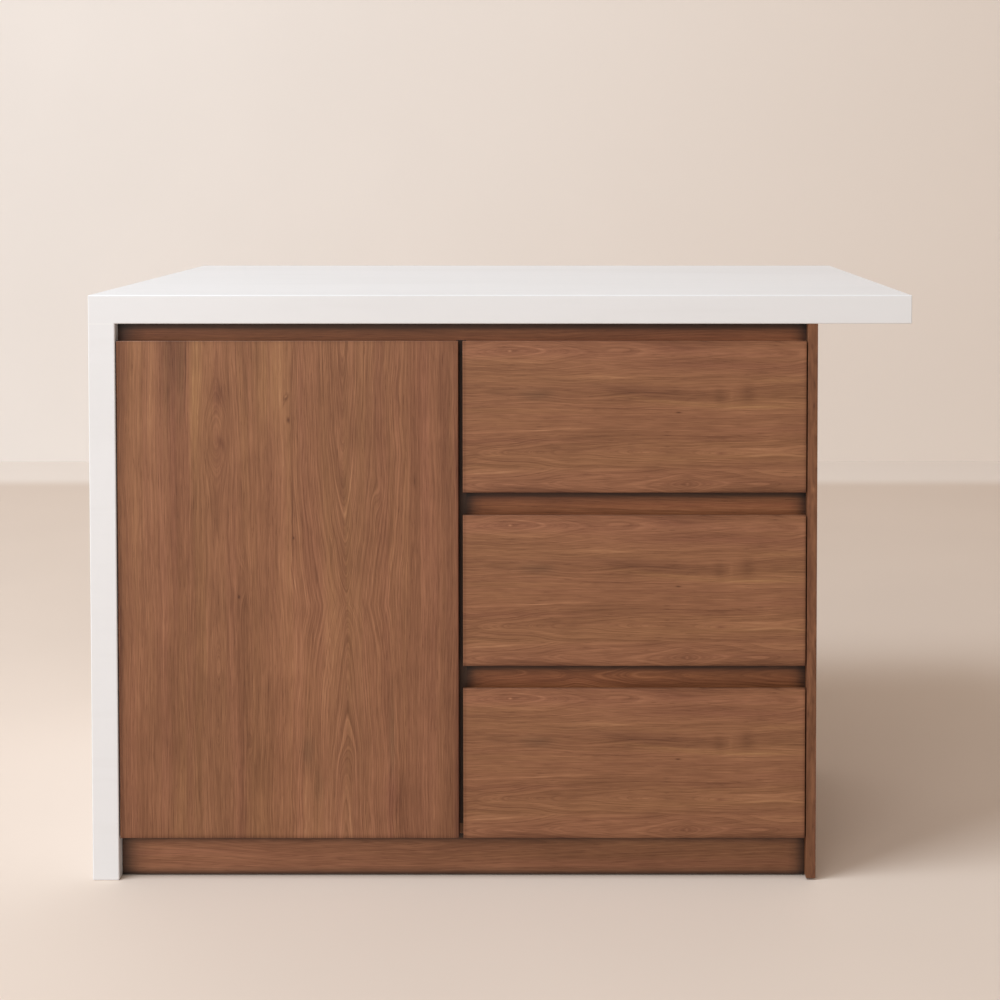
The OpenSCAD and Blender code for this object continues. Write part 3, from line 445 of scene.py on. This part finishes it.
# White stone with soft clouds and streaks; jointZ is where a glued joint shows as a fine pale line
def stone(name, jointZ=None):
    made, tree, shader, place = newFinish(name, Roughness=stoneLook["roughness"], IOR=1.5)
    cloud = noise(tree, stretched(tree, place, stoneLook["cloud"]), detail=4.0, roughness=0.55, distortion=0.4)
    streak = noise(tree, stretched(tree, place, stoneLook["streak"]), detail=3.0)
    grit = noise(tree, place, stoneLook["grit"], detail=1.0)
    depth = total(tree, product(tree, rise(tree, cloud, *stoneLook["cloudFrom"]), stoneLook["cloudShare"]),
                  product(tree, rise(tree, streak, *stoneLook["streakFrom"]), stoneLook["streakShare"]),
                  product(tree, grit, stoneLook["gritShare"]))
    colour = mixed(tree, depth, (*stoneLook["colour"], 1), (*stoneLook["deep"], 1))
    if jointZ:
        height = put(tree, "ShaderNodeSeparateXYZ", {0: place}).outputs[2]
        line = calc(tree, "GREATER_THAN", height, jointZ - stoneLook["jointLine"])
        colour = mixed(tree, line, colour, (*stoneLook["joint"], 1))
    tree.links.new(colour, shader.inputs["Base Color"])
    rough = total(tree, stoneLook["roughness"] + stoneLook["smoother"],
                  product(tree, cloud, stoneLook["cloudRough"]))
    tree.links.new(rough, shader.inputs["Roughness"])
    bumped(tree, shader, grit, stoneLook["gritDepth"], stoneLook["bump"])
    return made


# Birch ply: grain along the board on its faces, and its plies in stripes wherever its thickness shows
birchLook = {"grain": [(0.3, linear(198, 164, 122)), (0.7, linear(224, 194, 153))],
             "plies": [(0.0, linear(150, 112, 74)), (0.5, linear(218, 188, 146))], "ply": 0.0028,
             "across": 150.0, "along": 8.0, "clouds": (9, 5, 9), "fleck": 3, "gloss": 0.42,
             "grainShare": 0.6, "cloudShare": 0.4, "fleckShare": -0.10, "fleckFrom": (0.62, 0.75),
             "plyWander": 0.12, "plyFrom": (0.35, 0.65), "grainDepth": 0.00008, "bump": 0.4}


def birchPly(name, thin, along, start):
    made, tree, shader, place = newFinish(name, Roughness=birchLook["gloss"])
    axes = put(tree, "ShaderNodeSeparateXYZ", {0: place}).outputs
    facing = put(tree, "ShaderNodeSeparateXYZ", {0: tree.nodes["Texture Coordinate"].outputs["Normal"]}).outputs
    scale = [birchLook["along"] if axis == along else birchLook["across"] for axis in axisOrder]
    grainLines = noise(tree, stretched(tree, place, scale), detail=3.0)
    clouds = noise(tree, stretched(tree, place, birchLook["clouds"]))
    flecks = noise(tree, stretched(tree, place, [value * birchLook["fleck"] for value in scale]), detail=1.0)
    shade = total(tree, product(tree, grainLines, birchLook["grainShare"]),
                  product(tree, clouds, birchLook["cloudShare"]),
                  product(tree, rise(tree, flecks, *birchLook["fleckFrom"]), birchLook["fleckShare"]))
    face = ramp(tree, shade, birchLook["grain"])
    number = axisOrder.index(thin)
    layer = calc(tree, "DIVIDE", calc(tree, "SUBTRACT", axes[number], start), birchLook["ply"])
    layer = calc(tree, "PINGPONG", calc(tree, "MULTIPLY_ADD", grainLines, birchLook["plyWander"], layer), 1.0)
    stripes = ramp(tree, rise(tree, layer, *birchLook["plyFrom"]), birchLook["plies"])
    onEdge = calc(tree, "LESS_THAN", calc(tree, "ABSOLUTE", facing[number]), 0.5)
    tree.links.new(mixed(tree, onEdge, face, stripes), shader.inputs["Base Color"])
    bumped(tree, shader, grainLines, birchLook["grainDepth"], birchLook["bump"])
    return made


# Plated steel. Its fine lines run along the axis of the smallest scale.
metalLook = {"cloud": 60.0, "pale": 1.10, "dark": 0.88, "smoother": -0.06, "shadeRough": 0.12,
             "lineDepth": 0.00002, "bump": 0.3,
             "zinc": {"colour": (0.62, 0.63, 0.65), "roughness": 0.34, "lines": (900, 12, 900)},
             "nickel": {"colour": (0.66, 0.64, 0.61), "roughness": 0.26, "lines": (400, 400, 400)}}


def metal(name, look):
    made, tree, shader, place = newFinish(name, Metallic=1.0, Roughness=look["roughness"])
    streak = noise(tree, stretched(tree, place, look["lines"]), detail=3.0, roughness=0.6)
    cloud = noise(tree, place, metalLook["cloud"])
    shade = total(tree, product(tree, streak, 0.5), product(tree, cloud, 0.5))
    pale = tuple(min(c * metalLook["pale"], 1.0) for c in look["colour"])
    dark = tuple(c * metalLook["dark"] for c in look["colour"])
    tree.links.new(mixed(tree, rise(tree, shade, *cloudTurn), (*dark, 1), (*pale, 1)), shader.inputs["Base Color"])
    rough = total(tree, look["roughness"] + metalLook["smoother"],
                  product(tree, shade, metalLook["shadeRough"]))
    tree.links.new(rough, shader.inputs["Roughness"])
    bumped(tree, shader, streak, metalLook["lineDepth"], metalLook["bump"])
    return made


# Moulded plastic with a fine grain
plasticLook = {"cloud": 30.0, "pale": 1.35, "lift": 0.002, "smoother": -0.05, "gritRough": 0.10,
               "gritDepth": 0.00006, "bump": 0.4,
               "black": {"colour": (0.018, 0.018, 0.019), "roughness": 0.5, "grit": 2500.0},
               "clear": {"colour": (0.62, 0.62, 0.60), "roughness": 0.3, "grit": 800.0}}


def plastic(name, look):
    made, tree, shader, place = newFinish(name, Roughness=look["roughness"])
    grit = noise(tree, place, look["grit"])
    cloud = noise(tree, place, plasticLook["cloud"])
    paler = tuple(min(c * plasticLook["pale"] + plasticLook["lift"], 1.0) for c in look["colour"])
    colour = mixed(tree, rise(tree, cloud, *cloudTurn), (*look["colour"], 1), (*paler, 1))
    tree.links.new(colour, shader.inputs["Base Color"])
    rough = total(tree, look["roughness"] + plasticLook["smoother"],
                  product(tree, grit, plasticLook["gritRough"]))
    tree.links.new(rough, shader.inputs["Roughness"])
    bumped(tree, shader, grit, plasticLook["gritDepth"], plasticLook["bump"])
    return made


stoneFinish = stone("honedStone")
uprightFinish = stone("honedStoneUpright", waterHigh.z)
birchFinish = birchPly("birchDowels", "x", "y", 0.0)
boxFinish = {
    "left_side": birchPly("birchLeftSides", "x", "y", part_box("top_drawer_left_side")[0].x),
    "right_side": birchPly("birchRightSides", "x", "y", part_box("top_drawer_right_side")[0].x),
    "inner_front": birchPly("birchInnerFronts", "y", "x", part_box("top_drawer_inner_front")[0].y),
    "back": birchPly("birchBacks", "y", "x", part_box("top_drawer_back")[0].y),
    "bottom": birchPly("birchBottoms", "z", "y", 0.0),
}
zincFinish = metal("zincSteel", metalLook["zinc"])
nickelFinish = metal("nickelSteel", metalLook["nickel"])
blackFinish = plastic("blackPlastic", plasticLook["black"])
clearFinish = plastic("clearPad", plasticLook["clear"])

finishes = {
    "stone_white": stoneFinish, "walnut_vertical": rearVeneer, "walnut_horizontal": plinthVeneer,
    "carcass_board": boardFinish, "birch": birchFinish, "zinc_steel": zincFinish, "nickel_steel": nickelFinish,
    "black_plastic": blackFinish, "clear_pad": clearFinish,
}
ownFinish = {"door_panel": doorVeneer, "right_end_panel": endVeneer, "plinth_board": plinthVeneer,
             "centre_divider": dividerFinish, "waterfall_panel": uprightFinish}
ownFinish.update(railFinish)
drawers = ("top", "middle", "bottom")
for drawer in drawers:
    ownFinish[drawer + "_drawer_front"] = drawerVeneer
    for part, finish in boxFinish.items():
        ownFinish[drawer + "_drawer_" + part] = finish
for part in frame["record"]["subparts"]:
    solid = frame["nodes"][part["node"]]
    for slot in solid.material_slots:
        slot.material = ownFinish.get(part["node"], finishes[part["material_slot"]])
print("finishes assigned")


# A pan head with a cross in it, one unit across, standing on z = 0
headLook = {"sides": 16, "rise": 0.30, "shoulder": 0.47, "shoulderRise": 0.14, "crown": 0.34,
            "crossReach": 0.23, "crossHalf": 0.045, "crossDepth": 0.13, "crossTaper": 0.8}


def screwHead():
    form = bmesh.new()
    rings = []
    turns = [k * math.tau / headLook["sides"] for k in range(headLook["sides"])]
    profile = ((0.5, 0.0), (headLook["shoulder"], headLook["shoulderRise"]),
               (headLook["crown"], headLook["rise"]))
    for radius, height in profile:
        rings.append([form.verts.new((radius * math.cos(turn), radius * math.sin(turn), height))
                      for turn in turns])
    for lower, upper in zip(rings, rings[1:]):
        for k in range(headLook["sides"]):
            after = (k + 1) % headLook["sides"]
            form.faces.new((lower[k], lower[after], upper[after], upper[k])).smooth = True
    form.faces.new(list(reversed(rings[0])))
    reach, half = headLook["crossReach"], headLook["crossHalf"]
    corners = [(reach, -half), (reach, half), (half, half)]
    outline = []
    for quarter in range(4):
        cosine, sine = round(math.cos(quarter * math.pi / 2)), round(math.sin(quarter * math.pi / 2))
        outline += [(x * cosine - y * sine, x * sine + y * cosine) for x, y in corners]
    brim = [form.verts.new((x, y, headLook["rise"])) for x, y in outline]
    taper, bottom = headLook["crossTaper"], headLook["rise"] - headLook["crossDepth"]
    floor = [form.verts.new((x * taper, y * taper, bottom)) for x, y in outline]
    edges = []
    for loop in (rings[-1], brim):
        for k, corner in enumerate(loop):
            pair = (corner, loop[(k + 1) % len(loop)])
            edges.append(form.edges.get(pair) or form.edges.new(pair))
    bmesh.ops.triangle_fill(form, edges=edges, use_beauty=True)
    for k in range(len(brim)):
        after = (k + 1) % len(brim)
        form.faces.new((brim[k], floor[k], floor[after], brim[after]))
    form.faces.new(floor)
    bmesh.ops.recalc_face_normals(form, faces=form.faces)
    mesh = bpy.data.meshes.new("screwHead")
    form.to_mesh(mesh)
    form.free()
    return mesh


# A small ball, one unit across
def ballForm():
    form = bmesh.new()
    bmesh.ops.create_icosphere(form, subdivisions=2, radius=0.5)
    for facet in form.faces:
        facet.smooth = True
    mesh = bpy.data.meshes.new("ball")
    form.to_mesh(mesh)
    form.free()
    return mesh


# Sets a small form out on points: each point carries its width and the way it faces, and its turn is random
def settingOutTree():
    tree = bpy.data.node_groups.new("settingOut", "GeometryNodeTree")
    for title, kind in (("Points", "Geometry"), ("Form", "Object"), ("Rise", "Float"), ("Turn seed", "Int"),
                        ("Finish", "Material")):
        tree.interface.new_socket(title, in_out="INPUT", socket_type="NodeSocket" + kind)
    tree.interface.new_socket("Geometry", in_out="OUTPUT", socket_type="NodeSocketGeometry")
    given = put(tree, "NodeGroupInput").outputs
    form = put(tree, "GeometryNodeObjectInfo", {"Object": given["Form"]}).outputs["Geometry"]
    facing, wide = (
        put(tree, "GeometryNodeInputNamedAttribute", {"Name": title}, data_type=kind).outputs["Attribute"]
        for title, kind in (("facing", "FLOAT_VECTOR"), ("wide", "FLOAT")))
    turn = put(tree, "FunctionNodeRandomValue", {"Min": 0.0, "Max": math.tau, "Seed": given["Turn seed"]},
               data_type="FLOAT")
    turn = next(socket for socket in turn.outputs if socket.enabled)
    aimed = put(tree, "FunctionNodeAlignRotationToVector", {"Vector": facing}, axis="Z").outputs[0]
    spun = put(tree, "FunctionNodeAxisAngleToRotation", {"Axis": (0, 0, 1), "Angle": turn}).outputs[0]
    aimed = put(tree, "FunctionNodeRotateRotation", {0: aimed, 1: spun}, rotation_space="LOCAL").outputs[0]
    tall = calc(tree, "MULTIPLY", wide, given["Rise"])
    scale = put(tree, "ShaderNodeCombineXYZ", {0: wide, 1: wide, 2: tall}).outputs[0]
    placed = put(tree, "GeometryNodeInstanceOnPoints", {"Points": given["Points"], "Instance": form,
                                                        "Rotation": aimed, "Scale": scale}).outputs[0]
    placed = put(tree, "GeometryNodeRealizeInstances", {0: placed}).outputs[0]
    placed = put(tree, "GeometryNodeSetMaterial", {"Geometry": placed, "Material": given["Finish"]}).outputs[0]
    put(tree, "NodeGroupOutput", {"Geometry": placed})
    return tree


# Makes one piece of many screws or balls. Rows are (place, facing, width), in metres; tall stretches the form.
def setOut(name, body, finish, form, rows, tall, seed):
    mesh = bpy.data.meshes.new(name + "Points")
    mesh.from_pydata([row[0] for row in rows], [], [])
    facing = mesh.attributes.new("facing", "FLOAT_VECTOR", "POINT")
    facing.data.foreach_set("vector", [c for row in rows for c in row[1]])
    mesh.attributes.new("wide", "FLOAT", "POINT").data.foreach_set("value", [row[2] for row in rows])
    maker = bpy.data.objects.new(name + "Maker", mesh)
    sample = bpy.data.objects.new(name + "Form", form)
    for helper in (maker, sample):
        bpy.context.scene.collection.objects.link(helper)
    modifier = maker.modifiers.new("setting out", "NODES")
    modifier.node_group = settingOut
    sockets = {item.name: item.identifier for item in settingOut.interface.items_tree if item.in_out == "INPUT"}
    for title, value in (("Form", sample), ("Rise", tall), ("Turn seed", seed), ("Finish", finish)):
        modifier[sockets[title]] = value
    bpy.context.view_layer.update()
    made = bpy.data.meshes.new_from_object(maker.evaluated_get(bpy.context.evaluated_depsgraph_get()))
    for helper in (maker, sample):
        bpy.data.objects.remove(helper)
    made.name = name
    piece = bpy.data.objects.new(name, made)
    bpy.context.scene.collection.objects.link(piece)
    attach(piece, body)
    print(name, len(rows), "set out,", len(made.polygons), "faces")


settingOut = settingOutTree()
head, ball = screwHead(), ballForm()
left, right, back, up, down = (Vector(v) for v in ((-1, 0, 0), (1, 0, 0), (0, 1, 0), (0, 0, 1), (0, 0, -1)))

# Hinge screws: widths, and where they stand, in metres. The rises are from each hinge's middle.
hingeScrewLook = {"plate": 0.0072, "plateX": -0.577, "plateY": -0.392, "plateRise": 0.016,
                  "arm": 0.006, "armX": -0.5645, "armY": (-0.385, -0.375),
                  "flange": 0.0058, "flangeX": -0.571, "flangeY": -0.4302, "flangeRise": 0.0209,
                  "hingeEnd": 0.026}

plateLow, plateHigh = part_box("hinge_plates")
plateScrews, flangeScrews = [], []
for z in (plateLow.z + hingeScrewLook["hingeEnd"], plateHigh.z - hingeScrewLook["hingeEnd"]):
    for side in (-1, 1):
        spot = (hingeScrewLook["plateX"], hingeScrewLook["plateY"], z + side * hingeScrewLook["plateRise"])
        plateScrews.append((spot, right, hingeScrewLook["plate"]))
        spot = (hingeScrewLook["flangeX"], hingeScrewLook["flangeY"], z + side * hingeScrewLook["flangeRise"])
        flangeScrews.append((spot, back, hingeScrewLook["flange"]))
    for y in hingeScrewLook["armY"]:
        plateScrews.append(((hingeScrewLook["armX"], y, z), right, hingeScrewLook["arm"]))
setOut("hingePlateScrews", "cabinet", zincFinish, head, plateScrews, tall=1.0, seed=3)
setOut("hingeCupScrews", "door", zincFinish, head, flangeScrews, tall=0.55, seed=4)

# Runner screws: rows are measured back from the runners' front ends, web is the steel's thickness
runnerLook = {"wide": 0.007, "cabinetRows": (0.046, 0.206, 0.366, 0.466), "drawerRows": (0.046, 0.246, 0.446),
              "web": 0.0012}
barLook = {"wide": 0.0085, "x": (-0.32425, 0.0965, 0.366), "y": (0.200, 0.290, 0.370)}


# Each drawer's runners: their outer faces, their front ends and the height of their middle
def runnerPlaces(drawer):
    low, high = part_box(drawer + "_cabinet_members")
    return low.x, high.x, low.y, (low.z + high.z) / 2


runnerScrews = []
for drawer in drawers:
    leftFace, rightFace, frontEnd, middle = runnerPlaces(drawer)
    for along in runnerLook["cabinetRows"]:
        for x, way in ((leftFace + runnerLook["web"], right), (rightFace - runnerLook["web"], left)):
            runnerScrews.append(((x, frontEnd + along, middle), way, runnerLook["wide"]))
setOut("runnerScrews", "cabinet", zincFinish, head, runnerScrews, tall=0.2, seed=5)
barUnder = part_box("support_bars")[0].z
barScrews = [((x, y, barUnder), down, barLook["wide"]) for x in barLook["x"] for y in barLook["y"]]
setOut("barScrews", "cabinet", zincFinish, head, barScrews, tall=0.6, seed=6)

# Drawer boxes: screws behind the inner front, and two rows of balls in each runner's middle member
boxScrewLook = {"wide": 0.0075, "in": 0.072, "up": (0.040, 0.120)}
ballLook = {"across": 0.0025, "fromWall": 0.0068, "fromMiddle": 0.0197, "first": -0.116, "step": 0.009,
            "count": 16}
for drawer in drawers:
    leftFace, rightFace, frontEnd, middle = runnerPlaces(drawer)
    boxLow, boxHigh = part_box(drawer + "_drawer_left_side")[0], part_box(drawer + "_drawer_right_side")[1]
    drawerScrews = []
    for along in runnerLook["drawerRows"]:
        for x, way in ((boxLow.x - runnerLook["web"], left), (boxHigh.x + runnerLook["web"], right)):
            drawerScrews.append(((x, frontEnd + along, middle), way, runnerLook["wide"]))
    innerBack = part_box(drawer + "_drawer_inner_front")[1].y
    for x in (boxLow.x + boxScrewLook["in"], boxHigh.x - boxScrewLook["in"]):
        for z in boxScrewLook["up"]:
            drawerScrews.append(((x, innerBack, boxLow.z + z), back, boxScrewLook["wide"]))
    setOut(drawer + "DrawerScrews", drawer + "_drawer", zincFinish, head, drawerScrews, tall=0.8,
           seed=7)
    balls = []
    for x in (leftFace + ballLook["fromWall"], rightFace - ballLook["fromWall"]):
        for z in (middle - ballLook["fromMiddle"], middle + ballLook["fromMiddle"]):
            for k in range(ballLook["count"]):
                balls.append(((x, ballLook["first"] + ballLook["step"] * k, z), up, ballLook["across"]))
    setOut(drawer + "RunnerBalls", drawer + "_runner_middle", nickelFinish, ball, balls,
           tall=1.0, seed=8)

# The wall's paint turns paler and warmer towards the right; the paler part is painted light, making up for the
# lamps lighting the wall's right less
stageLook = {
    "floor": linear(220, 204, 190.5), "corner": linear(239.5, 229.5, 221),   # the corner is the floor by the wall
    "wallLeft": linear(233, 225.5, 219), "wallRight": linear(239.5, 227.5, 217),
    "wallY": 3.70, "cornerFrom": (3.12, 3.32), "wallFrom": (-2.6, 2.6), "halfWidth": 30.0, "near": -30.0,
    "top": 9.0, "roughness": 0.8, "cloud": 1.2, "paler": 1.03,
}


# Floor or wall. Its colour turns into the other one along an axis, over a span in metres.
def flatSheet(name, corners, colour, other, axis, turnSpan):
    mesh = bpy.data.meshes.new(name)
    mesh.from_pydata(corners, [], [(0, 1, 2, 3)])
    made = bpy.data.objects.new(name, mesh)
    bpy.context.scene.collection.objects.link(made)
    finish, tree, shader, place = newFinish(name + "Paint", Roughness=stageLook["roughness"])
    cloud = noise(tree, place, stageLook["cloud"])
    paler = tuple(min(c * stageLook["paler"], 1.0) for c in colour)
    shown = mixed(tree, rise(tree, cloud, *cloudTurn), (*colour, 1), (*paler, 1))
    along = put(tree, "ShaderNodeSeparateXYZ", {0: place}).outputs[axisOrder.index(axis)]
    shown = mixed(tree, rise(tree, along, *turnSpan), shown, (*other, 1))
    tree.links.new(shown, shader.inputs["Base Color"])
    mesh.materials.append(finish)


halfWidth, near, wallY, top = (stageLook[key] for key in ("halfWidth", "near", "wallY", "top"))
wallFoot = [(-halfWidth, wallY, 0), (halfWidth, wallY, 0)]
flatSheet("floorSheet", [(-halfWidth, near, 0), (halfWidth, near, 0), *reversed(wallFoot)], stageLook["floor"],
          stageLook["corner"], "y", stageLook["cornerFrom"])
flatSheet("wallSheet", [*wallFoot, (halfWidth, wallY, top), (-halfWidth, wallY, top)], stageLook["wallLeft"],
          stageLook["wallRight"], "x", stageLook["wallFrom"])

# Square lamps: size is a side in metres. The camera doesn't see the lamps themselves.
lampLook = {
    "keyLamp": {"at": (-3.0, -2.0, 6.4), "aim": (0, 0, 0.4), "size": 2.6, "power": 268.0,
                "colour": (0.90, 1.0, 1.10)},
    "sideLamp": {"at": (-6.2, -2.1, 2.1), "aim": (0, 0, 0.4), "size": 3.4, "power": 125.0,
                 "colour": (0.90, 1.0, 1.10)},
    "frontLamp": {"at": (-1.6, -5.5, 2.6), "aim": (0, 0, 0.5), "size": 3.0, "power": 92.0,
                  "colour": (0.99, 1.0, 1.01)},
}
for name, look in lampLook.items():
    lamp = bpy.data.lights.new(name, "AREA")
    lamp.shape, lamp.size, lamp.energy, lamp.color = "SQUARE", look["size"], look["power"], look["colour"]
    holder = bpy.data.objects.new(name, lamp)
    holder.visible_camera = False
    holder.location = look["at"]
    holder.rotation_euler = (Vector(look["aim"]) - Vector(look["at"])).to_track_quat("-Z", "Y").to_euler()
    bpy.context.scene.collection.objects.link(holder)

roomLook = {"colour": (1.14, 1.0, 0.86), "strength": 0.39}   # soft light from all round
world = bpy.data.worlds.new("softRoom")
world.use_nodes = True
roomLight = world.node_tree.nodes["Background"].inputs
roomLight["Color"].default_value = (*roomLook["colour"], 1)
roomLight["Strength"].default_value = roomLook["strength"]
bpy.context.scene.world = world

# The photograph's verticals are parallel, from a level camera with a shift. A small tilt keeps the shift
# smaller, so that other views show the whole unit.
cameraLook = {"at": (0.108, -3.28, 1.104), "lens": 66.18, "sensor": 36.0, "shift": (-0.07, -0.2638),
              "tilt": 2.0}
view = bpy.data.cameras.new("view")
view.lens, view.sensor_width = cameraLook["lens"], cameraLook["sensor"]
view.shift_x, view.shift_y = cameraLook["shift"]
viewHolder = bpy.data.objects.new("view", view)
viewHolder.location = cameraLook["at"]
viewHolder.rotation_euler = (math.radians(90 - cameraLook["tilt"]), 0, 0)
bpy.context.scene.collection.objects.link(viewHolder)
bpy.context.scene.camera = viewHolder
bpy.context.scene.view_settings.view_transform = "Standard"
print("stage, lamps and camera set")
